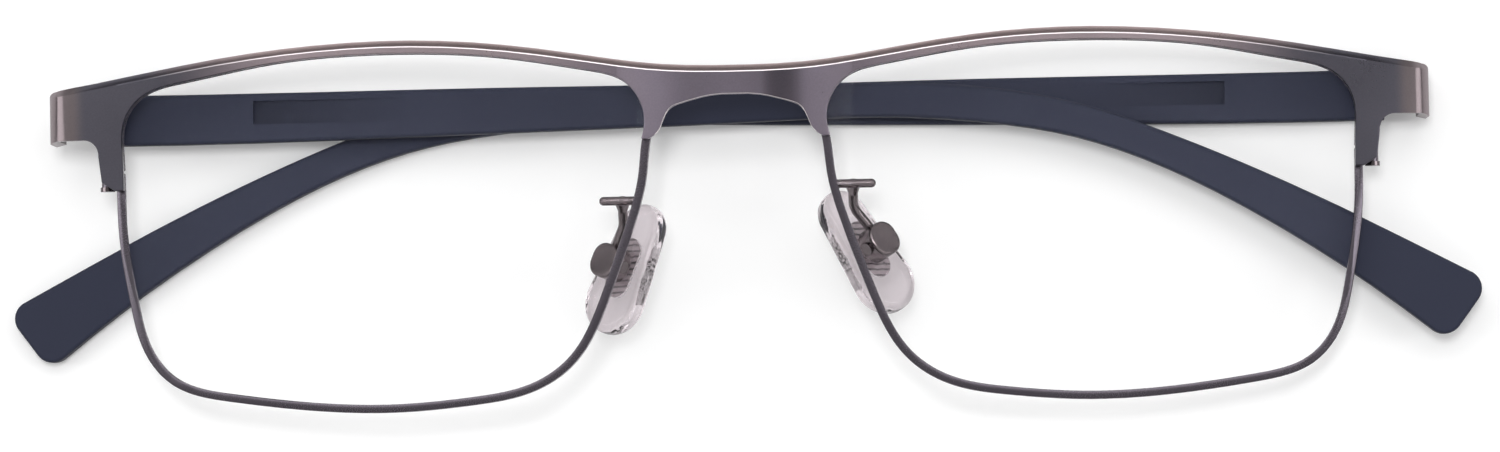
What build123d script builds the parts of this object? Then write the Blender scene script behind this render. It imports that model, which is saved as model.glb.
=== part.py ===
from build123d import *
import math
import os

# Full-rim rectangular metal eyeglasses, folded, lying front up on the outer temple.
# Millimetres. The front is drawn in its own frame: X to the wearer's left, Y up,
# Z out of the front, with Y zero at the middle of the hinges and Z zero at the bridge.
# The side at +X is the wearer's left. The left half is made and mirrored.

# Driving sizes of the front
bridge_gap = 18.8
aperture_width = 53.65
aperture_height = 35.7
end_reach = 7.85
front_curve_radius = 380.0
brow_rise = 6.7
aperture_top = 5.35
aperture_samples = 72
sheet_thickness = 1.0
end_height = 5.2
end_bend_radius = 2.3
end_corner_radius = 1.0
end_top_radius = 0.75
brow_end_drop = 0.1
arc_share = 1 - math.sqrt(0.5)
brow_bevel_height = 0.65
brow_bevel_depth = 0.55
arch_height = 4.4
arch_foot_drop = 4.0
strut_drop = 5.3
braze_gap = 0.03
cut_overrun = 5.0

# Eyewires, lenses and rim locks
wire_width = 0.85
wire_depth = 1.8
groove_depth = 0.45
groove_width = 1.1
lens_edge_thickness = 1.0
lens_seat_clearance = 0.05
wire_split_gap = 0.25
lock_width = 2.0
lock_depth = 1.7
lock_upper_height = 1.9
lock_lower_height = 1.4
lock_split_drop = 5.9
lock_round_radius = 0.6
lock_screw_radius = 0.4
lock_hole_clearance = 0.04
lock_head_radius = 0.75
lock_head_height = 0.45

# Hinges
hinge_inset = 2.75
hinge_behind_end = 4.97
barrel_radius = 1.15
barrel_height = 1.16
barrel_gap = 0.06
hinge_leaf_thickness = 0.45
hinge_leaf_length = 2.2
hinge_leaf_rear = 1.1
leaf_edge_radius = 0.4
pin_radius = 0.55
pin_running_clearance = 0.04
pin_head_radius = 0.9
pin_head_height = 0.5
screw_slot_width = 0.25
screw_slot_depth = 0.2
butt_gap = 1.6
butt_stop_gap = 0.1

# Temples
temple_reach = 145.0
temple_drop = 24.8
temple_top = 2.3
temple_thickness = 2.6
temple_inner_offset = 0.15
temple_outer_edge_radius = 0.8
temple_inner_edge_radius = 0.35
temple_tip_radius = 1.9
temple_tilt = 1.25
pocket_start = 18.0
pocket_length = 16.0
pocket_height = 2.4
pocket_depth = 0.55
pocket_rise = 0.2
tongue_length = 8.0
tongue_height = 3.0
tongue_thickness = 0.8
tongue_depth = 0.9
neck_thickness = 0.8
neck_entry = 0.8
tongue_screw_radius = 0.4
tongue_screw_head_radius = 0.7
tongue_screw_head_height = 0.4
tongue_screw_length = 1.75
tongue_screw_pitch = 3.4
tongue_screw_first = 3.9
tongue_clearance = 0.02

# Nose pads and their arms
pad_length = 14.0
pad_width = 7.0
pad_thickness = 2.3
pad_top_radius = 2.7
pad_edge_radius = 0.95
pad_z = -8.6
pad_splay_angle = 38.0
pad_places = {"left": (3.4, -15.6, 31.0), "right": (2.2, -16.9, 22.0)}
core_length = 6.4
core_width = 3.0
core_thickness = 0.5
core_depth = 0.5
core_rib_count = 7
core_rib_width = 0.3
core_rib_height = 0.2
lug_length = 1.3
lug_width = 1.2
box_length = 3.6
box_width = 3.4
box_depth = 2.4
box_wall = 0.6
box_back = 0.4
box_slot_length = 2.4
box_to_pad = 2.9
box_corner_radius = 1.45
box_back_radius = 0.35
pad_pin_radius = 0.38
pad_pin_clearance = 0.05
pad_pin_head_radius = 0.65
pad_pin_head_height = 0.3
foot_radius = 0.45
foot_length = 3.8
foot_inset = 0.45
foot_above_pad = 6.8
stem_flare_radius = 0.85
stem_flare_length = 1.2
stem_radius = 0.5
stem_bend_radius = 2.0

# Outlines, as shares of the sizes that they follow
brow_top_shares = [
    (0.0, 0.507), (0.114, 0.552), (0.228, 0.731), (0.342, 0.906), (0.485, 1.0),
    (0.627, 0.945), (0.770, 0.769), (0.912, 0.516), (0.985, 0.388),
]
aperture_shares = [
    (0.0, 0.760), (0.006, 0.850), (0.036, 0.906), (0.105, 0.940), (0.272, 0.982),
    (0.496, 1.0), (0.720, 0.979), (0.880, 0.936), (0.966, 0.893), (0.996, 0.830),
    (1.0, 0.720), (0.997, 0.525), (0.975, 0.301), (0.950, 0.172), (0.905, 0.091),
    (0.800, 0.041), (0.640, 0.010), (0.480, 0.0), (0.330, 0.017), (0.220, 0.052),
    (0.150, 0.122), (0.085, 0.300), (0.036, 0.500), (0.011, 0.640),
]
arch_shares = [
    (0.0, 1.0), (0.30, 0.965), (0.53, 0.845), (0.713, 0.675), (0.777, 0.455),
    (0.815, 0.245), (0.878, 0.09), (0.947, 0.0),
]
temple_top_edge_shares = [
    (0.011, 1.0), (0.280, 0.998), (0.537, 0.986), (0.628, 0.966), (0.705, 0.889),
    (0.779, 0.738), (0.886, 0.453), (1.0, 0.105),
]
temple_low_edge_shares = [
    (0.969, -0.141), (0.909, 0.129), (0.846, 0.371), (0.768, 0.615), (0.700, 0.754),
    (0.642, 0.811), (0.579, 0.839), (0.488, 0.833), (0.280, 0.805), (0.011, 0.790),
]

half_gap = bridge_gap / 2
half_width = half_gap + aperture_width + end_reach
end_fall = front_curve_radius - math.sqrt(front_curve_radius ** 2 - half_width ** 2)
half_end = end_height / 2
aperture_bottom = aperture_top - aperture_height
hinge_x = half_width - hinge_inset
hinge_z = -end_fall - hinge_behind_end
wire_front = sheet_thickness + braze_gap
wire_back = wire_front + wire_depth
wire_middle = (wire_front + wire_back) / 2
through = half_width * 2


def surface_z(x, depth):
    """Height of the curved surface that lies depth behind the front's face, at x."""
    return math.sqrt((front_curve_radius - depth) ** 2 - x ** 2) - front_curve_radius


def curved_slab(front, back):
    """The curved layer between two depths behind the front's face."""
    reach = half_width
    face = make_face([
        ThreePointArc((-reach, surface_z(reach, front)), (0, -front), (reach, surface_z(reach, front))),
        Line((reach, surface_z(reach, front)), (reach, surface_z(reach, back))),
        ThreePointArc((reach, surface_z(reach, back)), (0, -back), (-reach, surface_z(reach, back))),
        Line((-reach, surface_z(reach, back)), (-reach, surface_z(reach, front))),
    ])
    return extrude(Plane.XZ * face, half_width, both=True)


def prism(face):
    """A front-view outline, run right through the front."""
    return extrude(Plane.XY.offset(-through / 2) * face, through)


# Front sheet

def sheet_section(depth, rear, bend):
    """Top view of the sheet's face at a depth, with its ends bent back to rear."""
    reach = half_width - depth
    face = make_face([
        ThreePointArc((-reach, surface_z(reach, depth)), (0, -depth), (reach, surface_z(reach, depth))),
        Line((reach, surface_z(reach, depth)), (reach, rear)),
        Line((reach, rear), (-reach, rear)),
        Line((-reach, rear), (-reach, surface_z(reach, depth))),
    ])
    corners = face.vertices().sort_by(Axis.Y)[-2:]
    return fillet(corners, bend)


def aperture_face(grow):
    """The opening that one lens shows through, grown all round."""
    points = [
        (half_gap + u * aperture_width, aperture_bottom + v * aperture_height)
        for u, v in aperture_shares
    ]
    edge = Spline(*points, periodic=True)
    if grow == 0:
        return make_face(edge)
    moved = []
    for number in range(aperture_samples):
        share = number / aperture_samples
        along = edge % share
        moved.append(edge @ share + Vector(-along.Y, along.X) * grow)
    return make_face(Spline(*moved, periodic=True))


def half_sheet_outline():
    """Front view of the sheet's half at +X, before the lens opening is cut."""
    brow = [(u * half_width, v * brow_rise) for u, v in brow_top_shares]
    arch = [
        (u * half_gap, -arch_foot_drop + v * arch_height)
        for u, v in arch_shares
    ]
    slope = Vector(*brow[-1]) - Vector(*brow[-2])
    corner_x = half_width - end_top_radius
    corner_y = brow[-1][1] - brow_end_drop
    corner_middle = (half_width - end_top_radius * arc_share, corner_y - end_top_radius * arc_share)
    corner = (half_width, corner_y - end_top_radius)
    lock_x = half_gap + aperture_width + wire_width
    strut_x = lock_x + wire_width * 2
    notch_x = strut_x + wire_width * 2
    foot_x_inner = lock_x - wire_width * 4
    strut_foot = -half_end - strut_drop
    face = make_face([
        Spline(*brow, tangents=[(1, 0), (slope.X, slope.Y)]),
        Line(brow[-1], (corner_x, corner_y)),
        ThreePointArc((corner_x, corner_y), corner_middle, corner),
        Line(corner, (half_width, -half_end - end_corner_radius / 4)),
        Line((half_width, -half_end - end_corner_radius / 4), (half_width - end_corner_radius, -half_end)),
        Line((half_width - end_corner_radius, -half_end), (notch_x, -half_end)),
        ThreePointArc(
            (notch_x, -half_end),
            (strut_x + wire_width * 0.55, -half_end - wire_width * 0.55),
            (strut_x, -half_end - wire_width * 2),
        ),
        Line((strut_x, -half_end - wire_width * 2), (strut_x - wire_width * 0.4, strut_foot + wire_width)),
        Line((strut_x - wire_width * 0.4, strut_foot + wire_width), (lock_x, strut_foot)),
        Line((lock_x, strut_foot), (foot_x_inner, strut_foot)),
        Line((foot_x_inner, strut_foot), (half_gap + wire_width * 2, -arch_foot_drop)),
        Line((half_gap + wire_width * 2, -arch_foot_drop), arch[-1]),
        Spline(*reversed(arch)),
        Line(arch[0], brow[0]),
    ])
    return face - aperture_face(0)


def make_front_sheet():
    rear = hinge_z - butt_gap + butt_stop_gap
    strip = sheet_section(0, rear, end_bend_radius)
    strip -= sheet_section(sheet_thickness, rear - cut_overrun, end_bend_radius - sheet_thickness)
    strip = extrude(Plane.XZ * strip, half_width, both=True)
    half = half_sheet_outline()
    outline = half + mirror(half, Plane.YZ)
    sheet = strip & prism(outline)
    brow = sheet.edges().filter_by(lambda edge: edge.length > half_width).sort_by(Axis.Z)[-1]
    face = sheet.faces().sort_by(Axis.Z)[-1]
    return chamfer(brow, brow_bevel_height, brow_bevel_depth, reference=face)


# Eyewires, lenses and rim locks

def make_eyewire():
    ring = aperture_face(wire_width) - aperture_face(0)
    groove = aperture_face(groove_depth) - aperture_face(-wire_width)
    wire = prism(ring) & curved_slab(wire_front, wire_back)
    channel = curved_slab(wire_middle - groove_width / 2, wire_middle + groove_width / 2)
    wire -= prism(groove) & channel
    split_x = half_gap + aperture_width
    split = Pos(split_x, -lock_split_drop, 0) * Box(lock_width * 2, wire_split_gap, through)
    return wire - split


def make_lens():
    slab = curved_slab(wire_middle - lens_edge_thickness / 2, wire_middle + lens_edge_thickness / 2)
    return prism(aperture_face(groove_depth - lens_seat_clearance)) & slab


def lock_middle_z():
    """Middle of the lock's depth: the lock clears the sheet's back at its outer side."""
    outer_x = half_gap + aperture_width + wire_width / 2 + lock_width
    return surface_z(outer_x, wire_front) - lock_depth / 2


def lock_block(height, middle_y):
    x = half_gap + aperture_width + wire_width / 2
    z = lock_middle_z()
    block = Box(lock_width, height, lock_depth)
    block = fillet(block.edges().filter_by(Axis.Y).group_by(Axis.X)[-1], lock_round_radius)
    block = Pos(x + lock_width / 2, middle_y, z) * block
    return block - prism(aperture_face(wire_width))


def make_lock():
    """Both halves of the rim lock, and the screw that draws them together."""
    upper_y = -lock_split_drop + wire_split_gap / 2 + lock_upper_height / 2
    lower_y = -lock_split_drop - wire_split_gap / 2 - lock_lower_height / 2
    upper = lock_block(lock_upper_height, upper_y)
    lower = lock_block(lock_lower_height, lower_y)
    x = half_gap + aperture_width + wire_width + lock_width / 2
    z = lock_middle_z()
    foot = -lock_split_drop - wire_split_gap / 2 - lock_lower_height
    top = -lock_split_drop + wire_split_gap / 2 + lock_upper_height
    up = Plane(origin=(x, foot, z), x_dir=(1, 0, 0), z_dir=(0, 1, 0))
    length = top - foot
    hole = extrude(up.offset(-cut_overrun) * Circle(lock_screw_radius + lock_hole_clearance), length + cut_overrun * 2)
    upper -= hole
    lower -= hole
    screw = extrude(up * Circle(lock_screw_radius), length)
    head = extrude(up * Circle(lock_head_radius), -lock_head_height)
    slot = up.offset(-lock_head_height) * Box(lock_head_radius * 3, screw_slot_width, screw_slot_depth * 2)
    return upper, lower, (screw + head) - slot


# Hinges. Each is drawn about its own axis, with the leaf on the side wall at +X.

def barrel(level):
    """One knuckle of the hinge, not yet bored; level is -1, 0 or 1."""
    plane = Plane(origin=(0, level * (barrel_height + barrel_gap), 0), x_dir=(1, 0, 0), z_dir=(0, 1, 0))
    return extrude(plane * Circle(barrel_radius), barrel_height / 2, both=True)


def hinge_bore(radius):
    plane = Plane(origin=(0, 0, 0), x_dir=(1, 0, 0), z_dir=(0, 1, 0))
    return extrude(plane * Circle(radius), barrel_height * 3, both=True)


def make_front_hinge():
    wall_face = hinge_inset - sheet_thickness - braze_gap
    leaf_height = barrel_height * 3 + barrel_gap * 2
    leaf = Box(hinge_leaf_thickness, leaf_height, hinge_leaf_length + hinge_leaf_rear)
    leaf = fillet(leaf.edges().filter_by(Axis.X), leaf_edge_radius)
    leaf = Pos(wall_face - hinge_leaf_thickness / 2, 0, (hinge_leaf_length - hinge_leaf_rear) / 2) * leaf
    hinge = leaf
    for level in (-1, 1):
        lug = Pos(wall_face / 2, level * (barrel_height + barrel_gap), 0) * Box(
            wall_face, barrel_height, barrel_radius * 2
        )
        hinge = hinge + lug + barrel(level)
    return hinge - hinge_bore(pin_radius)


def make_hinge_pin():
    top = barrel_height * 1.5 + barrel_gap
    plane = Plane(origin=(0, -top, 0), x_dir=(1, 0, 0), z_dir=(0, 1, 0))
    pin = extrude(plane * Circle(pin_radius), top * 2)
    head = extrude(plane.offset(top * 2) * Circle(pin_head_radius), pin_head_height)
    slot = plane.offset(top * 2 + pin_head_height) * Box(pin_head_radius * 3, screw_slot_width, screw_slot_depth * 2)
    return (pin + head) - slot


# Temples, drawn about the hinge axis, running to -X with the inner face up

def temple_outline():
    top = [(-u * temple_reach, temple_top + (v - 1) * temple_drop) for u, v in temple_top_edge_shares]
    low = [(-u * temple_reach, temple_top + (v - 1) * temple_drop) for u, v in temple_low_edge_shares]
    face = make_face([
        Spline(*top),
        Line(top[-1], low[0]),
        Spline(*low),
        Line(low[-1], top[0]),
    ])
    tips = face.vertices().sort_by(Axis.X)[:2]
    return fillet(tips, temple_tip_radius)


def make_temple():
    outline = temple_outline()
    body = extrude(Plane.XY.offset(-temple_inner_offset) * outline, -temple_thickness)
    for face, radius in ((-1, temple_inner_edge_radius), (0, temple_outer_edge_radius)):
        rim = body.faces().sort_by(Axis.Z)[face].edges()
        body = fillet(rim.sort_by(Axis.X)[:-1], radius)
    wedge = make_face(Polyline(
        (-pocket_start, -pocket_depth), (-pocket_start, cut_overrun),
        (-pocket_start - pocket_length, cut_overrun), (-pocket_start - pocket_length, 0),
        close=True,
    ))
    pocket = extrude(Plane.XZ.offset(-pocket_rise) * wedge, pocket_height / 2, both=True)
    body -= Pos(0, 0, -temple_inner_offset) * pocket
    body -= tongue_slot()
    for x in tongue_screw_places():
        hole = Plane(origin=(x, 0, -temple_inner_offset - temple_thickness), z_dir=(0, 0, 1))
        body -= extrude(hole * Circle(tongue_screw_radius + tongue_clearance), tongue_screw_length + tongue_clearance)
        body -= extrude(hole * Circle(tongue_screw_head_radius + tongue_clearance), tongue_screw_head_height)
    return body


def tongue_box(length, height, top, thickness):
    """A box that starts at the temple's end, with its top below the inner face by top."""
    middle = -butt_gap - length / 2
    return Pos(middle, 0, -temple_inner_offset - top - thickness / 2) * Box(length, height, thickness)


def make_tongue(grow):
    """The hinge's tongue inside the temple, and the web that carries it from the neck."""
    tongue = tongue_box(
        tongue_length + grow, tongue_height + grow * 2, tongue_depth - grow, tongue_thickness + grow * 2
    )
    web = tongue_box(neck_entry + grow, barrel_height + grow * 2, 0, tongue_depth + grow)
    return tongue + web


def tongue_slot():
    """The room for the tongue and web, open at the temple's end and inner face."""
    clearance = tongue_clearance
    end_mouth = Pos(cut_overrun, 0, 0) * tongue_box(
        cut_overrun, tongue_height + clearance * 2, tongue_depth - clearance, tongue_thickness + clearance * 2
    )
    face_mouth = tongue_box(
        neck_entry + clearance, barrel_height + clearance * 2, -cut_overrun, tongue_depth + cut_overrun
    )
    face_mouth += Pos(cut_overrun, 0, 0) * tongue_box(
        cut_overrun, barrel_height + clearance * 2, -cut_overrun, tongue_depth + cut_overrun
    )
    return make_tongue(clearance) + end_mouth + face_mouth


def tongue_screw_places():
    first = -tongue_screw_first
    return [first, first - tongue_screw_pitch]


def make_tongue_screws():
    """Two short screws from the temple's outer face, with their heads just below it."""
    screws = []
    for x in tongue_screw_places():
        foot = Plane(origin=(x, 0, -temple_inner_offset - temple_thickness + tongue_clearance), z_dir=(0, 0, 1))
        shank = extrude(foot * Circle(tongue_screw_radius), tongue_screw_length)
        head = extrude(foot * Circle(tongue_screw_head_radius), tongue_screw_head_height - tongue_clearance)
        slot = foot * Box(tongue_screw_head_radius * 3, screw_slot_width, screw_slot_depth * 2)
        screws.append(shank + head - slot)
    return screws


def make_temple_hinge():
    neck_length = butt_gap + neck_entry
    neck = Pos(-neck_length / 2, 0, -temple_inner_offset - neck_thickness / 2) * Box(
        neck_length, barrel_height, neck_thickness
    )
    hinge = make_tongue(0) + neck + barrel(0) - hinge_bore(pin_radius + pin_running_clearance)
    for screw in make_tongue_screws():
        hinge -= screw
    return hinge


# Nose pads. The plane's X runs down the pad, Y across it, and Z from pad to box.
# The arms are bent by hand to suit a nose, so each side has a place of its own.

def pad_plane(side_name):
    gap, y, frontal_angle = pad_places[side_name]
    frontal = math.radians(frontal_angle)
    splay = math.radians(pad_splay_angle)
    down = Vector(math.sin(frontal), -math.cos(frontal), 0)
    across = Vector(
        math.cos(splay) * math.cos(frontal), math.cos(splay) * math.sin(frontal), -math.sin(splay)
    )
    return Plane(origin=(half_gap + gap, y, pad_z), x_dir=down, z_dir=down.cross(across))


def pad_outline():
    low_radius = pad_width / 2
    top = Pos(-pad_length / 2 + pad_top_radius, 0) * Circle(pad_top_radius)
    low = Pos(pad_length / 2 - low_radius, 0) * Circle(low_radius)
    return make_hull(top.edges() + low.edges())


def make_pad_core():
    """The stiffening plate inside the pad, with its ribs and the lug that the pin holds."""
    base = pad_thickness / 2 - core_depth - core_thickness
    core = extrude(Plane.XY.offset(base) * SlotOverall(core_length, core_width), core_thickness)
    pitch = (core_length - core_width) / (core_rib_count - 1)
    for number in range(core_rib_count):
        x = (core_width - core_length) / 2 + number * pitch
        core += Pos(x, 0, base - core_rib_height / 2) * Box(core_rib_width, core_width * 0.7, core_rib_height)
    height = box_to_pad - base
    lug = Pos(0, 0, base + height / 2) * Box(lug_length, lug_width, height)
    end = Plane(origin=(0, 0, box_to_pad), x_dir=(1, 0, 0), z_dir=(0, 1, 0))
    knuckle = extrude(end * Circle(lug_length / 2), lug_width / 2, both=True)
    bore = extrude(end * Circle(pad_pin_radius + pad_pin_clearance), box_width, both=True)
    return core + lug + knuckle - bore


def make_pad(core):
    body = extrude(Plane.XY.offset(-pad_thickness / 2) * pad_outline(), pad_thickness)
    body = fillet(body.edges().filter_by(Plane.XY), pad_edge_radius)
    return body - core


def make_box_body():
    """The box on the arm's end before it is hollowed; its back is away from the pad."""
    body = Box(box_length, box_width, box_depth)
    body = fillet(body.edges().filter_by(Axis.Z), box_corner_radius)
    body = fillet(body.faces().sort_by(Axis.Z)[-1].edges(), box_back_radius)
    return Pos(0, 0, box_to_pad) * body


def make_pad_box(body):
    mouth = Pos(0, 0, box_to_pad - box_back) * Box(box_slot_length, box_width - box_wall * 2, box_depth)
    axis = Plane(origin=(0, 0, box_to_pad), x_dir=(1, 0, 0), z_dir=(0, 1, 0))
    hole = extrude(axis * Circle(pad_pin_radius), box_width, both=True)
    return body - mouth - hole


def make_pad_pin():
    axis = Plane(origin=(0, 0, box_to_pad), x_dir=(1, 0, 0), z_dir=(0, 1, 0))
    pin = extrude(axis * Circle(pad_pin_radius), box_width / 2, both=True)
    head = extrude(axis.offset(box_width / 2) * Circle(pad_pin_head_radius), pad_pin_head_height)
    return pin + Rot(0, 0, 180) * head


def make_pad_arm(pad_frame, box_body):
    """A foot along the back of the eyewire and a stem down to the box, in one casting."""
    foot_x = half_gap + foot_inset
    foot_y = pad_frame.origin.Y + foot_above_pad
    z = surface_z(foot_x, wire_back) - foot_radius - braze_gap
    foot_plane = Plane(origin=(foot_x, foot_y, z), z_dir=(1, 0, 0))
    foot = extrude(foot_plane * Circle(foot_radius), foot_length)
    foot += Pos(foot_x + foot_length, foot_y, z) * Sphere(foot_radius)
    start = Vector(foot_x + foot_length / 2, foot_y, z)
    finish = pad_frame.from_local_coords(Vector(-box_length / 2 + stem_radius, 0, box_to_pad))
    elbow = Vector(start.X, (start.Y + finish.Y) / 2, (start.Z + finish.Z) / 2 - stem_radius)
    path = FilletPolyline(start, elbow, finish, radius=stem_bend_radius)
    stem = sweep(Plane(origin=path @ 0, z_dir=path % 0) * Circle(stem_radius), path=path)
    flare = Plane(origin=path @ 0, z_dir=path % 0) * Cone(
        stem_flare_radius, stem_radius, stem_flare_length, align=(Align.CENTER, Align.CENTER, Align.MIN)
    )
    return foot + stem + flare - box_body


# Placing the pieces as the folded glasses lie, on the outer temple's flat face

tilt = math.radians(temple_tilt)
outer_face_drop = temple_inner_offset + temple_thickness
lift = outer_face_drop + hinge_x * math.sin(tilt) - hinge_z * math.cos(tilt)
rest = Location((0, 0, lift)) * Rot(0, temple_tilt, 0)


def mirrored(shape, side):
    return shape if side > 0 else mirror(shape, Plane.YZ)


def place_hinge(shape, side):
    return rest * (Pos(side * hinge_x, 0, hinge_z) * mirrored(shape, side))


def place_temple(shape, side):
    turn = Pos(side * hinge_x, 0, hinge_z) * Rot(0, -temple_tilt, 0)
    return rest * (turn * mirrored(shape, side))


def main():
    os.makedirs("parts", exist_ok=True)
    nodes = {}
    nodes["front_sheet"] = rest * make_front_sheet()

    wire = make_eyewire()
    lens = make_lens()
    upper_lock, lower_lock, lock_screw = make_lock()
    core = make_pad_core()
    pad = make_pad(core)
    box_body = make_box_body()
    pad_box = make_pad_box(box_body)
    pad_pin = make_pad_pin()
    front_hinge = make_front_hinge()
    hinge_pin = make_hinge_pin()
    first_screw, second_screw = make_tongue_screws()
    temple_hinge = make_temple_hinge()
    temple = make_temple()

    for name, side in (("left", 1), ("right", -1)):
        pad_frame = pad_plane(name)
        front_pieces = {
            "eyewire": wire, "lens": lens, "rim_lock_upper": upper_lock, "rim_lock_lower": lower_lock,
            "rim_lock_screw": lock_screw, "pad_arm": make_pad_arm(pad_frame, pad_frame * box_body),
            "pad_box": pad_frame * pad_box, "pad_pin": pad_frame * pad_pin,
            "pad_core": pad_frame * core, "nose_pad": pad_frame * pad,
        }
        for piece, shape in front_pieces.items():
            nodes[piece + "_" + name] = rest * mirrored(shape, side)
        nodes["hinge_front_" + name] = place_hinge(front_hinge, side)
        nodes["hinge_screw_" + name] = place_hinge(hinge_pin, side)
        nodes["hinge_temple_" + name] = place_temple(temple_hinge, side)
        nodes["temple_" + name] = place_temple(temple, side)
        nodes["temple_screws_" + name] = place_temple(first_screw + second_screw, side)

        hinge = (rest * Pos(side * hinge_x, 0, hinge_z)).position
        pivot = pad_frame.from_local_coords(Vector(0, 0, box_to_pad))
        axis = pad_frame.y_dir
        pivot = (rest * Pos(side * pivot.X, pivot.Y, pivot.Z)).position
        axis = Vector(side * axis.X, axis.Y, axis.Z).rotate(Axis.Y, temple_tilt)
        print(name, "hinge", hinge, "pad pivot", pivot, "pad axis", axis)

    for name, shape in nodes.items():
        export_step(shape, os.path.join("parts", name + ".step"))


main()
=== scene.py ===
import math

import bmesh
import bpy
from mathutils import Matrix, Vector


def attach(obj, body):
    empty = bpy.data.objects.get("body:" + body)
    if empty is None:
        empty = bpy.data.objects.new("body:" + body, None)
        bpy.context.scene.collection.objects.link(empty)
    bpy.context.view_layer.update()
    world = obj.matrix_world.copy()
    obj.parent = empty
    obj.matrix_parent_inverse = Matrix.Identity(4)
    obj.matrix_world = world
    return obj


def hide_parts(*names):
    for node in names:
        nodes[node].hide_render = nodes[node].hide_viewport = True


# Folded metal eyeglasses, seen from above their front as they lie on a white table.
# Metres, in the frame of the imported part: X across, Y up the front, Z out of the front.

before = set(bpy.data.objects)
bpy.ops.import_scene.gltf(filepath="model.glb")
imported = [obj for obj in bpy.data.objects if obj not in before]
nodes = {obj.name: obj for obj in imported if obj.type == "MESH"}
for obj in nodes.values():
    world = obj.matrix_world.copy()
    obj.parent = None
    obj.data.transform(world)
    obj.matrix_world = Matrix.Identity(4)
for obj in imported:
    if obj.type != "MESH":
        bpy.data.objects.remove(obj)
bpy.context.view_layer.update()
SIDES = ("left", "right")

# Colours, linear
BLACK = (0, 0, 0, 1)
WHITE = (1, 1, 1, 1)
# Painted reflection and painted highlight on the gunmetal plating, by place on the front
BROW_PAINTED_HIGHLIGHT = (0.460, 0.375, 0.400, 1)
MIDDLE_PAINTED_REFLECTION = (0.220, 0.190, 0.232, 1)
BEVEL_PAINTED_REFLECTION = (0.460, 0.360, 0.360, 1)
EDGE_PAINTED_HIGHLIGHT = (0.950, 0.880, 0.900, 1)
END_PAINTED_DARK_REFLECTION = (0.112, 0.107, 0.130, 1)
CURL_PAINTED_WARM_REFLECTION = (0.180, 0.152, 0.158, 1)
CURL_PAINTED_HIGHLIGHT = (0.270, 0.225, 0.238, 1)
SPECKLE_DARK = (0.74, 0.74, 0.74, 1)
SPECKLE_PALE = (1.22, 1.22, 1.22, 1)
WIRE_DARK = (0.110, 0.098, 0.118, 1)
WIRE_METAL = (0.160, 0.142, 0.165, 1)
ARM_DARK = (0.095, 0.080, 0.088, 1)
ARM_METAL = (0.170, 0.145, 0.150, 1)
SCREW_STEEL = (0.360, 0.345, 0.340, 1)
NAVY = (0.027, 0.030, 0.051, 1)
NAVY_PALE = (0.037, 0.041, 0.066, 1)
SILICONE = (0.800, 0.730, 0.765, 1)
CORE_DARK = (0.060, 0.052, 0.060, 1)
RIB_DARK = (0.120, 0.105, 0.115, 1)
RIB_PALE = (0.780, 0.720, 0.740, 1)
TABLE_WHITE = (0.90, 0.90, 0.90, 1)
HORIZON_GREY = (0.30, 0.29, 0.30, 1)

# Grain of each finish: lowest and highest roughness, grains in a metre, and their depth
PLATING_GRAIN = ((0.24, 0.34), 6000.0, 0.000006)
WIRE_GRAIN = ((0.22, 0.32), 9000.0, 0.000004)
ARM_GRAIN = ((0.10, 0.18), 2500.0, 0.000003)
SCREW_GRAIN = ((0.12, 0.22), 3000.0, 0.000003)
NAVY_GRAIN = ((0.50, 0.62), 7000.0, 0.000012)
CORE_GRAIN = ((0.15, 0.25), 2500.0, 0.000003)
CLOUD_SCALE = 120.0
GRAIN_DETAIL = 2.0
CLOUD_DETAIL = 3.0
GRAIN_SHARE = 0.45
CLOUD_SHARE = 0.55
GRAIN_STRENGTH = 0.5

# Painted reflection on the front's gunmetal plating, pale on the brow and dark at the ends: share of half
# its width, and colour
HALF_FRONT = 0.0709
PLATING_PAINTED_REFLECTION_STEPS = (
    (0.0, MIDDLE_PAINTED_REFLECTION), (0.10, MIDDLE_PAINTED_REFLECTION), (0.36, BROW_PAINTED_HIGHLIGHT), (0.62, BROW_PAINTED_HIGHLIGHT),
    (0.84, END_PAINTED_DARK_REFLECTION), (0.945, END_PAINTED_DARK_REFLECTION), (0.966, CURL_PAINTED_WARM_REFLECTION), (1.0, CURL_PAINTED_HIGHLIGHT),
)

# Painted reflection on the bridge, in paler and darker patches: share of the way across it, from the
# right to the left, and how pale the plating is painted there
HALF_BRIDGE = 0.012
BRIDGE_PAINTED_REFLECTION = (
    (0.0, 1.0), (0.12, 1.50), (0.30, 1.05), (0.48, 1.12), (0.60, 1.0), (0.69, 0.48), (0.76, 0.74),
    (0.86, 1.35), (1.0, 1.0),
)
PALEST_TONE = 2.0

# Bevel's brown painted reflection, set by how far the surface faces up the front: slopes where it starts
# and is full, and where along the front it fades out
BAND_SLOPES = (0.35, 0.55)
BAND_ENDS = (0.66, 0.86)

# Painted highlight along the edges: the slopes between face and bevel, and where the arch under the
# bridge has it
EDGE_HIGHLIGHT_SLOPES = ((0.06, BLACK), (0.12, WHITE), (0.36, WHITE), (0.46, BLACK))
ARCH_ENDS = (0.09, 0.12)
ARCH_STRENGTH = 0.8

# Temples: height of each inner face, and how much painted shade darkens the pocket's floor and the edges
# below the face
TEMPLE_FACE = {"left": 0.0026, "right": 0.00557}
POCKET_DEPTH = 0.00055
POCKET_SHADE = 0.62
NAVY_GLOSS = 0.15

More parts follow.
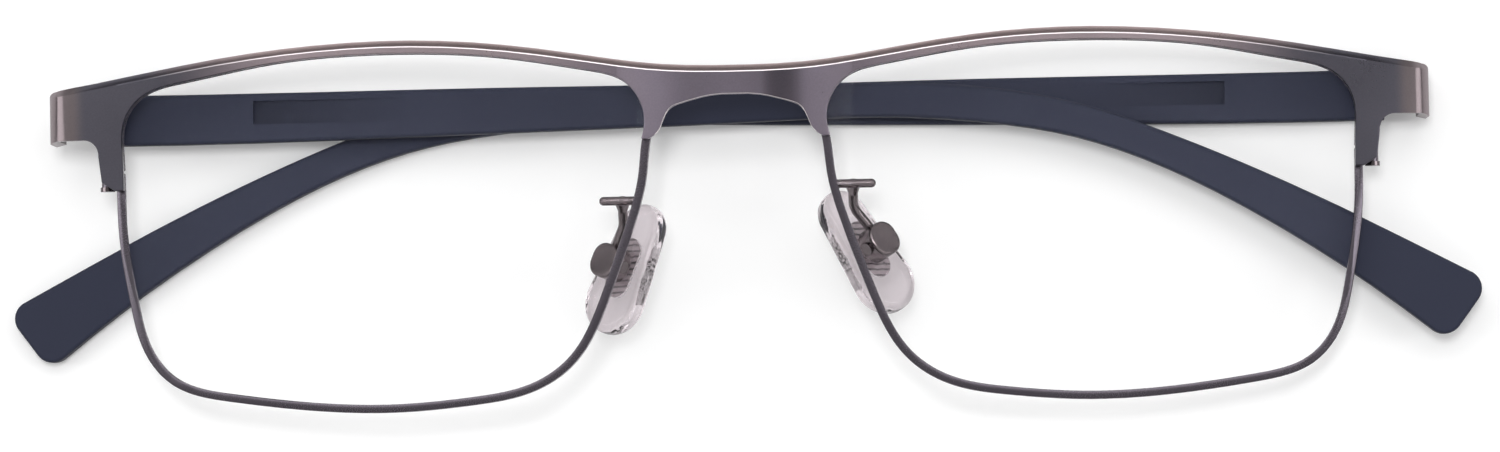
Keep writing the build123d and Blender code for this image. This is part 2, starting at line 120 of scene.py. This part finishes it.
# Lenses and nose pads
LENS_IOR = 1.5
LENS_GLOSS = 0.04
LENS_SHADOW = 0.98
SILICONE_IOR = 1.41
SILICONE_ROUGHNESS = 0.02
SILICONE_SHADOW = 0.72
SILICONE_STRETCH = (700.0, 160.0, 700.0)
SILICONE_WAVE = 0.00012
WAVE_DETAIL = 1.5
RIB_WAVES = {"Scale": 520.0, "Distortion": 1.5, "Detail": 1.0, "Detail Scale": 3.0}
RIB_STEPS = ((0.15, RIB_DARK), (0.40, RIB_PALE))
CORE_MIDDLE = {"left": (0.01400, -0.01487, 0.0080), "right": (-0.01320, -0.01640, 0.0086)}
CORE_DARK_REACH = (0.0016, 0.0021)

# Broken edges: their widths, and how far out along the front they go
FRONT_EDGE = 0.00012
WIRE_EDGE = 0.00010
BOX_EDGE = 0.00012
BEVEL_REACH = 0.0655
MERGE_DISTANCE = 0.000002
FLAT_ANGLE = math.radians(0.3)
SHARP_ANGLE = math.radians(32)

# The front's curved face
FRONT_RADIUS = 0.380
FRONT_FACING = 0.95
LEVEL_SLOPE = 0.01
SHARP_FACING = 0.75
CURVE_SLACK = 0.0001

# Table and world
TABLE_WIDTH = 3.0
TABLE_ROUGHNESS = 0.9
TABLE_LIFT = 0.15
TABLE_FADE = (0.15, 0.60)
WORLD_STRENGTH = 0.45
SKY_STEPS = ((0.0, BLACK), (0.004, HORIZON_GREY), (0.7, WHITE))

# Lamps: place, size, watts, and whether metal mirrors them
LAMPS = {
    "Top lamp": ((0.0, 0.09, 0.90), (0.16, 0.16), 2.8, False),
    "Brow soft box": ((0.0, 0.42, 0.80), (1.0, 0.45), 2.4, True),
    "Left soft box": ((-0.9, 0.05, 0.60), (0.14, 0.8), 1.4, True),
    "Right soft box": ((0.9, 0.05, 0.60), (0.14, 0.8), 1.6, True),
}

# Camera: what the photograph is centred on, and how it is turned
PHOTO_WIDTH_PX = 1500
METRES_PER_PX = 0.00010182
CENTRE = Vector((0.00113, -0.01291, 0.0125))
ROLL = math.radians(1.23)
CHIN_TILT = math.radians(2.36)
SIDE_TURN = math.radians(2.85)
CAMERA_DISTANCE = 0.6
CAMERA_CLIP = (0.01, 20)
SENSOR = 36.0


# Small helpers for node trees. Each returns the output that the next node takes.

def feed(tree, socket, given):
    """Link a socket to another node's output, or set it to a plain value."""
    if isinstance(given, bpy.types.NodeSocket):
        tree.links.new(given, socket)
    else:
        socket.default_value = given


def add_node(tree, kind, given):
    """A node with its named inputs fed."""
    node = tree.nodes.new(kind)
    for label, value in given.items():
        feed(tree, node.inputs[label], value)
    return node


def add_math(tree, operation, *given):
    """One step of arithmetic on numbers or other nodes' outputs."""
    node = tree.nodes.new("ShaderNodeMath")
    node.operation = operation
    for socket, value in zip(node.inputs, given):
        feed(tree, socket, value)
    return node.outputs[0]


def add_range(tree, value, start, end, low=0.0, high=1.0):
    """Low to high as the value goes from start to end, and level outside them."""
    given = {"Value": value, "From Min": start, "From Max": end, "To Min": low, "To Max": high}
    return add_node(tree, "ShaderNodeMapRange", given).outputs["Result"]


def add_mix(tree, factor, first, second, blend_type="MIX"):
    """The first colour, or the second where the factor is 1."""
    node = tree.nodes.new("ShaderNodeMix")
    node.data_type = "RGBA"
    node.blend_type = blend_type
    feed(tree, node.inputs["Factor"], factor)
    feed(tree, node.inputs["A"], first)
    feed(tree, node.inputs["B"], second)
    return node.outputs["Result"]


def add_ramp(tree, value, steps, interpolation="LINEAR"):
    """A colour that goes through pairs of position and colour as the value rises."""
    node = add_node(tree, "ShaderNodeValToRGB", {"Fac": value})
    ramp = node.color_ramp
    ramp.interpolation = interpolation
    ramp.elements[0].position, ramp.elements[0].color = steps[0]
    ramp.elements[1].position, ramp.elements[1].color = steps[-1]
    for position, colour in steps[1:-1]:
        ramp.elements.new(position).color = colour
    return node.outputs["Color"]


def add_curve(tree, value, points, highest):
    """A number that follows a smooth curve through pairs of position and height."""
    node = add_node(tree, "ShaderNodeFloatCurve", {"Value": value})
    node.mapping.clip_max_y = highest
    curve = node.mapping.curves[0]
    curve.points[0].location = points[0]
    curve.points[1].location = points[-1]
    for position, height in points[1:-1]:
        curve.points.new(position, height)
    node.mapping.update()
    return node.outputs["Value"]


def add_noise(tree, place, scale, detail):
    """Cloudy noise at a place, from 0 to 1."""
    given = {"Vector": place, "Scale": scale, "Detail": detail}
    return add_node(tree, "ShaderNodeTexNoise", given).outputs["Fac"]


def add_bump(tree, height, strength, depth):
    """A normal that follows a height."""
    given = {"Height": height, "Strength": strength, "Distance": depth}
    return add_node(tree, "ShaderNodeBump", given).outputs["Normal"]


def add_reach(tree, place, middle):
    """How far a place is from a middle."""
    node = tree.nodes.new("ShaderNodeVectorMath")
    node.operation = "DISTANCE"
    feed(tree, node.inputs[0], place)
    feed(tree, node.inputs[1], middle)
    return node.outputs["Value"]


def add_parts(tree, place):
    """The X, Y and Z of a place or a normal."""
    return add_node(tree, "ShaderNodeSeparateXYZ", {"Vector": place}).outputs


def add_either_ray(tree, first, second):
    """1 for two of Light Path's kinds of ray, 0 for the rest."""
    path = tree.nodes.new("ShaderNodeLightPath")
    return add_math(tree, "MAXIMUM", path.outputs[first], path.outputs[second])


def show_mixed(tree, output, factor, first, second):
    """Let a material or the world show the first shader, or the second where the factor is 1."""
    mix = tree.nodes.new("ShaderNodeMixShader")
    for socket, given in zip(mix.inputs, (factor, first, second)):
        feed(tree, socket, given)
    tree.links.new(mix.outputs[0], tree.nodes[output].inputs["Surface"])


# The grain that several finishes share

def make_fine_grain():
    """Blasted or moulded grain: a height, a roughness, and a colour between two."""
    usual_roughness, usual_scale = WIRE_GRAIN[:2]
    group = bpy.data.node_groups.new("Fine grain", "ShaderNodeTree")
    for label, kind, value in (
        ("Scale", "NodeSocketFloat", usual_scale),
        ("Cloud Scale", "NodeSocketFloat", CLOUD_SCALE),
        ("Dark", "NodeSocketColor", WIRE_DARK),
        ("Pale", "NodeSocketColor", WIRE_METAL),
        ("Roughness Low", "NodeSocketFloat", usual_roughness[0]),
        ("Roughness High", "NodeSocketFloat", usual_roughness[1]),
    ):
        socket = group.interface.new_socket(label, in_out="INPUT", socket_type=kind)
        socket.default_value = value
    for label, kind in (
        ("Colour", "NodeSocketColor"), ("Roughness", "NodeSocketFloat"), ("Height", "NodeSocketFloat")
    ):
        group.interface.new_socket(label, in_out="OUTPUT", socket_type=kind)
    given = group.nodes.new("NodeGroupInput").outputs
    put = group.nodes.new("NodeGroupOutput").inputs
    place = group.nodes.new("ShaderNodeTexCoord").outputs["Object"]
    grain = add_noise(group, place, given["Scale"], GRAIN_DETAIL)
    cloud = add_noise(group, place, given["Cloud Scale"], CLOUD_DETAIL)
    clouds = add_math(group, "MULTIPLY", cloud, CLOUD_SHARE)
    mask = add_math(group, "MULTIPLY_ADD", grain, GRAIN_SHARE, clouds)
    colour = add_mix(group, mask, given["Dark"], given["Pale"])
    rough = add_range(group, mask, 0.0, 1.0, given["Roughness Low"], given["Roughness High"])
    group.links.new(colour, put["Colour"])
    group.links.new(rough, put["Roughness"])
    group.links.new(grain, put["Height"])
    return group


fine_grain = make_fine_grain()


# Finishes

def new_finish(name):
    """A material with its node tree and its Principled shader."""
    material = bpy.data.materials.new(name)
    material.use_nodes = True
    return material, material.node_tree, material.node_tree.nodes["Principled BSDF"]


def grained_finish(name, dark, pale, metallic, grain_values):
    """A finish with fine grain, and the grain's colour for a finish that adds to it."""
    roughness, scale, depth = grain_values
    material, tree, shader = new_finish(name)
    grain = tree.nodes.new("ShaderNodeGroup")
    grain.node_tree = fine_grain
    for label, value in {
        "Scale": scale, "Cloud Scale": CLOUD_SCALE, "Dark": dark, "Pale": pale,
        "Roughness Low": roughness[0], "Roughness High": roughness[1],
    }.items():
        grain.inputs[label].default_value = value
    bumps = add_bump(tree, grain.outputs["Height"], GRAIN_STRENGTH, depth)
    feed(tree, shader.inputs["Base Color"], grain.outputs["Colour"])
    feed(tree, shader.inputs["Roughness"], grain.outputs["Roughness"])
    feed(tree, shader.inputs["Normal"], bumps)
    shader.inputs["Metallic"].default_value = metallic
    return material, tree, shader, grain.outputs["Colour"]


def clear_finish(name, colour, ior, roughness, gloss, shadow):
    """Clear glass or silicone; lamps and the table's light go straight through it."""
    material, tree, shader = new_finish(name)
    shader.inputs["Base Color"].default_value = colour
    shader.inputs["Transmission Weight"].default_value = 1.0
    shader.inputs["IOR"].default_value = ior
    shader.inputs["Roughness"].default_value = roughness
    shader.inputs["Specular Tint"].default_value = (gloss, gloss, gloss, 1)
    clear = add_node(tree, "ShaderNodeBsdfTransparent", {"Color": (shadow, shadow, shadow, 1)})
    lighting = add_either_ray(tree, "Is Shadow Ray", "Is Diffuse Ray")
    show_mixed(tree, "Material Output", lighting, shader.outputs[0], clear.outputs[0])
    return material, tree, shader


def plating_with_painted_reflection(name):
    """Satin gunmetal plating with painted reflection: pale on the brow, dark at the ends, a brown painted
    reflection on the bevel and a painted highlight along the edges.
    """
    material, tree, shader, speckle = grained_finish(name, SPECKLE_DARK, SPECKLE_PALE, 1.0, PLATING_GRAIN)
    place = tree.nodes.new("ShaderNodeTexCoord")
    across = add_parts(tree, place.outputs["Object"])["X"]
    slope = add_parts(tree, place.outputs["Normal"])["Y"]
    share = add_math(tree, "DIVIDE", add_math(tree, "ABSOLUTE", across), HALF_FRONT)

    # Painted reflection across the bridge: paler and darker patches multiplied into the plating
    along_bridge = add_range(tree, across, -HALF_BRIDGE, HALF_BRIDGE)
    bridge_reflection = add_curve(tree, along_bridge, BRIDGE_PAINTED_REFLECTION, PALEST_TONE)
    # Painted reflection: the plating is painted paler on the brow and darker at the ends, with a painted
    # highlight on the curled ends' edges
    colour = add_ramp(tree, share, PLATING_PAINTED_REFLECTION_STEPS, "EASE")
    colour = add_mix(tree, 1.0, colour, bridge_reflection, "MULTIPLY")

    # Painted reflection on the bevel: brown where the surface slopes up, fading out towards the ends
    before_ends = add_range(tree, share, *BAND_ENDS, 1.0, 0.0)
    bevel_reflection = add_math(tree, "MULTIPLY", add_range(tree, slope, *BAND_SLOPES), before_ends)
    colour = add_mix(tree, bevel_reflection, colour, BEVEL_PAINTED_REFLECTION)

    # Painted highlight: a pale line where the face rounds into the bevel, and along the arch under the
    # bridge
    in_arch = add_range(tree, share, *ARCH_ENDS, -ARCH_STRENGTH, 0.0)
    edge_slope = add_math(tree, "MAXIMUM", slope, add_math(tree, "MULTIPLY", in_arch, slope))
    edge = add_math(tree, "MULTIPLY", add_ramp(tree, edge_slope, EDGE_HIGHLIGHT_SLOPES), before_ends)
    colour = add_mix(tree, edge, colour, EDGE_PAINTED_HIGHLIGHT)

    feed(tree, shader.inputs["Base Color"], add_mix(tree, 1.0, colour, speckle, "MULTIPLY"))
    return material


def navy_plastic(name, face_height):
    """Matte navy with painted shade below the inner face: in the pocket and round the edges."""
    material, tree, shader, colour = grained_finish(name, NAVY, NAVY_PALE, 0.0, NAVY_GRAIN)
    shader.inputs["Specular IOR Level"].default_value = NAVY_GLOSS
    height = add_parts(tree, tree.nodes.new("ShaderNodeTexCoord").outputs["Object"])["Z"]
    # Painted shade: darker below the inner face, in the pocket and on the rounded edges
    shade = add_range(tree, height, face_height - POCKET_DEPTH, face_height, POCKET_SHADE)
    feed(tree, shader.inputs["Base Color"], add_mix(tree, 1.0, colour, shade, "MULTIPLY"))
    return material


def soft_silicone(name):
    """Clear silicone whose skin is slightly wavy along the pad, which streaks what shows through."""
    material, tree, shader = clear_finish(
        name, SILICONE, SILICONE_IOR, SILICONE_ROUGHNESS, 1.0, SILICONE_SHADOW
    )
    place = tree.nodes.new("ShaderNodeTexCoord").outputs["Object"]
    stretched = add_node(tree, "ShaderNodeMapping", {"Vector": place, "Scale": SILICONE_STRETCH})
    waves = add_noise(tree, stretched.outputs["Vector"], 1.0, WAVE_DETAIL)
    feed(tree, shader.inputs["Normal"], add_bump(tree, waves, 1.0, SILICONE_WAVE))
    return material


def ribbed_core(name, middle):
    """Core of a nose pad, dark round its pin, with fine ribs that show through the silicone."""
    material, tree, shader = grained_finish(name, RIB_DARK, RIB_PALE, 0.0, CORE_GRAIN)[:3]
    place = tree.nodes.new("ShaderNodeTexCoord").outputs["Object"]
    ribs = add_node(tree, "ShaderNodeTexWave", {"Vector": place, **RIB_WAVES})
    ribs.bands_direction = "Y"
    tones = add_ramp(tree, ribs.outputs["Fac"], RIB_STEPS)
    past_pin = add_range(tree, add_reach(tree, place, middle), *CORE_DARK_REACH)
    feed(tree, shader.inputs["Base Color"], add_mix(tree, past_pin, CORE_DARK, tones))
    return material


# Gunmetal plating with its painted reflection, painted bevel reflection and painted edge highlight
plating = plating_with_painted_reflection("Satin gunmetal plating")
wire_metal = grained_finish("Satin gunmetal wire", WIRE_DARK, WIRE_METAL, 1.0, WIRE_GRAIN)[0]
arm_metal = grained_finish("Polished dark metal", ARM_DARK, ARM_METAL, 1.0, ARM_GRAIN)[0]
steel = grained_finish("Polished steel", SCREW_STEEL, SCREW_STEEL, 1.0, SCREW_GRAIN)[0]
lens_glass = clear_finish("Clear lens", WHITE, LENS_IOR, 0.0, LENS_GLOSS, LENS_SHADOW)[0]
silicone = soft_silicone("Clear silicone")

FINISHES = {
    "eyewire": wire_metal, "rim_lock_upper": wire_metal, "rim_lock_lower": wire_metal,
    "hinge_front": wire_metal, "hinge_temple": wire_metal, "rim_lock_screw": arm_metal,
    "pad_arm": arm_metal, "pad_box": arm_metal, "pad_pin": arm_metal, "hinge_screw": steel,
    "temple_screws": steel, "lens": lens_glass, "nose_pad": silicone,
}


def dress(node, material):
    """Give a solid of the part its finish."""
    materials = nodes[node].data.materials
    materials.clear()
    materials.append(material)


dress("front_sheet", plating)
for side in SIDES:
    for piece, finish in FINISHES.items():
        dress(piece + "_" + side, finish)
    dress("temple_" + side, navy_plastic("Matte navy plastic " + side, TEMPLE_FACE[side]))
    dress("pad_core_" + side, ribbed_core("Pale pad core " + side, CORE_MIDDLE[side]))


# Sheet, wire and boxes with their edges broken, in place of the sharp-edged solids

def break_edges(mesh, width):
    """The mesh with its sharp edges bevelled, apart from those further out than BEVEL_REACH."""
    work = bmesh.new()
    work.from_mesh(mesh)
    bmesh.ops.remove_doubles(work, verts=work.verts, dist=MERGE_DISTANCE)
    bmesh.ops.dissolve_limit(work, angle_limit=FLAT_ANGLE, verts=work.verts, edges=work.edges)
    weight = work.edges.layers.float.new("bevel_weight_edge")
    for edge in work.edges:
        inside = max(abs(vert.co.x) for vert in edge.verts) < BEVEL_REACH
        if inside and edge.is_manifold and edge.calc_face_angle() > SHARP_ANGLE:
            edge[weight] = 1.0
    work.to_mesh(mesh)
    work.free()
    stand_in = bpy.data.objects.new("edges", mesh)
    bpy.context.collection.objects.link(stand_in)
    bevel = stand_in.modifiers.new("Broken edges", "BEVEL")
    bevel.width = width
    bevel.segments = 2
    bevel.limit_method = "WEIGHT"
    bevel.use_clamp_overlap = False
    seen = stand_in.evaluated_get(bpy.context.evaluated_depsgraph_get())
    baked = bpy.data.meshes.new_from_object(seen)
    bpy.data.objects.remove(stand_in)
    return baked


def true_curve_normals(mesh):
    """Give the curved front face the normals of its cylinder, whose axis runs along Y."""
    faces = [
        face for face in mesh.polygons
        if face.normal.z > FRONT_FACING and abs(face.normal.y) < LEVEL_SLOPE
    ]
    total = sum(face.area for face in faces)
    axis_x = sum((face.center.x - FRONT_RADIUS * face.normal.x) * face.area for face in faces) / total
    axis_z = sum((face.center.z - FRONT_RADIUS * face.normal.z) * face.area for face in faces) / total
    on_curve = set()
    for face in faces:
        reach = math.hypot(face.center.x - axis_x, face.center.z - axis_z)
        if abs(reach - FRONT_RADIUS) < CURVE_SLACK:
            on_curve.update(face.vertices)
    normals = [corner.vector.copy() for corner in mesh.corner_normals]
    for face in mesh.polygons:
        if face.normal.z < SHARP_FACING:
            continue
        for loop in face.loop_indices:
            index = mesh.loops[loop].vertex_index
            if index in on_curve:
                place = mesh.vertices[index].co
                normals[loop] = Vector((place.x - axis_x, 0, place.z - axis_z)).normalized()
    mesh.normals_split_custom_set(normals)


def softened(node, material, width, curved=False):
    """A copy of a solid with broken edges, which stands for it on the front."""
    mesh = break_edges(nodes[node].data.copy(), width)
    mesh.shade_smooth()
    mesh.set_sharp_from_angle(angle=SHARP_ANGLE)
    if curved:
        true_curve_normals(mesh)
    mesh.materials.clear()
    mesh.materials.append(material)
    piece = bpy.data.objects.new(node + "_softened", mesh)
    bpy.context.collection.objects.link(piece)
    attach(piece, "front")
    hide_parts(node)


softened("front_sheet", plating, FRONT_EDGE, curved=True)
for side in SIDES:
    softened("eyewire_" + side, wire_metal, WIRE_EDGE)
    softened("pad_box_" + side, arm_metal, BOX_EDGE)


# Table, light and camera

def make_table():
    """White table with the object's shadow, which turns plain white to the camera further out."""
    bpy.ops.mesh.primitive_plane_add(size=TABLE_WIDTH, location=(0, 0, 0))
    table = bpy.context.object
    table.name = "white_table"
    material, tree, shader = new_finish("White table")
    shader.inputs["Base Color"].default_value = TABLE_WHITE
    shader.inputs["Roughness"].default_value = TABLE_ROUGHNESS
    shader.inputs["Specular IOR Level"].default_value = 0.0
    place = tree.nodes.new("ShaderNodeTexCoord").outputs["Object"]
    lift = add_range(tree, add_reach(tree, place, (0, 0, 0)), *TABLE_FADE, TABLE_LIFT, 1.0)
    seen = add_either_ray(tree, "Is Camera Ray", "Is Transmission Ray")
    glow = add_node(tree, "ShaderNodeEmission", {"Strength": add_math(tree, "MULTIPLY", seen, lift)})
    both = tree.nodes.new("ShaderNodeAddShader")
    tree.links.new(shader.outputs[0], both.inputs[0])
    tree.links.new(glow.outputs[0], both.inputs[1])
    tree.links.new(both.outputs[0], tree.nodes["Material Output"].inputs["Surface"])
    table.data.materials.append(material)


def make_world():
    """White overhead and grey at the horizon, as in a soft light tent; plain white to the camera."""
    world = bpy.data.worlds.new("Studio")
    bpy.context.scene.world = world
    world.use_nodes = True
    tree = world.node_tree
    height = add_parts(tree, tree.nodes.new("ShaderNodeTexCoord").outputs["Generated"])["Z"]
    tent = tree.nodes["Background"]
    tent.inputs["Strength"].default_value = WORLD_STRENGTH
    feed(tree, tent.inputs["Color"], add_ramp(tree, height, SKY_STEPS))
    plain = add_node(tree, "ShaderNodeBackground", {"Color": WHITE})
    seen = add_either_ray(tree, "Is Camera Ray", "Is Transmission Ray")
    show_mixed(tree, "World Output", seen, tent.outputs[0], plain.outputs[0])


def make_lamp(name, place, size, power, in_metal):
    """A soft box that points at the middle of the table."""
    data = bpy.data.lights.new(name, "AREA")
    data.shape = "RECTANGLE"
    data.size, data.size_y = size
    data.energy = power
    lamp = bpy.data.objects.new(name, data)
    bpy.context.collection.objects.link(lamp)
    lamp.location = place
    lamp.rotation_euler = (-Vector(place)).to_track_quat("-Z", "Y").to_euler()
    lamp.visible_glossy = in_metal


def make_camera():
    """A camera above the front, turned as the photograph's was."""
    right = Vector((math.cos(ROLL), -math.sin(ROLL), 0))
    up = Vector((math.sin(ROLL), math.cos(ROLL), 0))
    back = Vector((0, 0, 1)) * math.cos(CHIN_TILT) - up * math.sin(CHIN_TILT)
    back = back * math.cos(SIDE_TURN) + right * math.sin(SIDE_TURN)
    right = (right - back * right.dot(back)).normalized()
    turn = Matrix((right, back.cross(right), back)).transposed().to_4x4()
    data = bpy.data.cameras.new("Camera")
    data.sensor_width = SENSOR
    data.lens = SENSOR * CAMERA_DISTANCE / (PHOTO_WIDTH_PX * METRES_PER_PX)
    data.clip_start, data.clip_end = CAMERA_CLIP
    camera = bpy.data.objects.new("Camera", data)
    bpy.context.collection.objects.link(camera)
    camera.matrix_world = Matrix.Translation(CENTRE + back * CAMERA_DISTANCE) @ turn
    bpy.context.scene.camera = camera


make_table()
make_world()
for lamp_name, lamp_values in LAMPS.items():
    make_lamp(lamp_name, *lamp_values)
make_camera()
bpy.context.scene.view_settings.view_transform = "Standard"
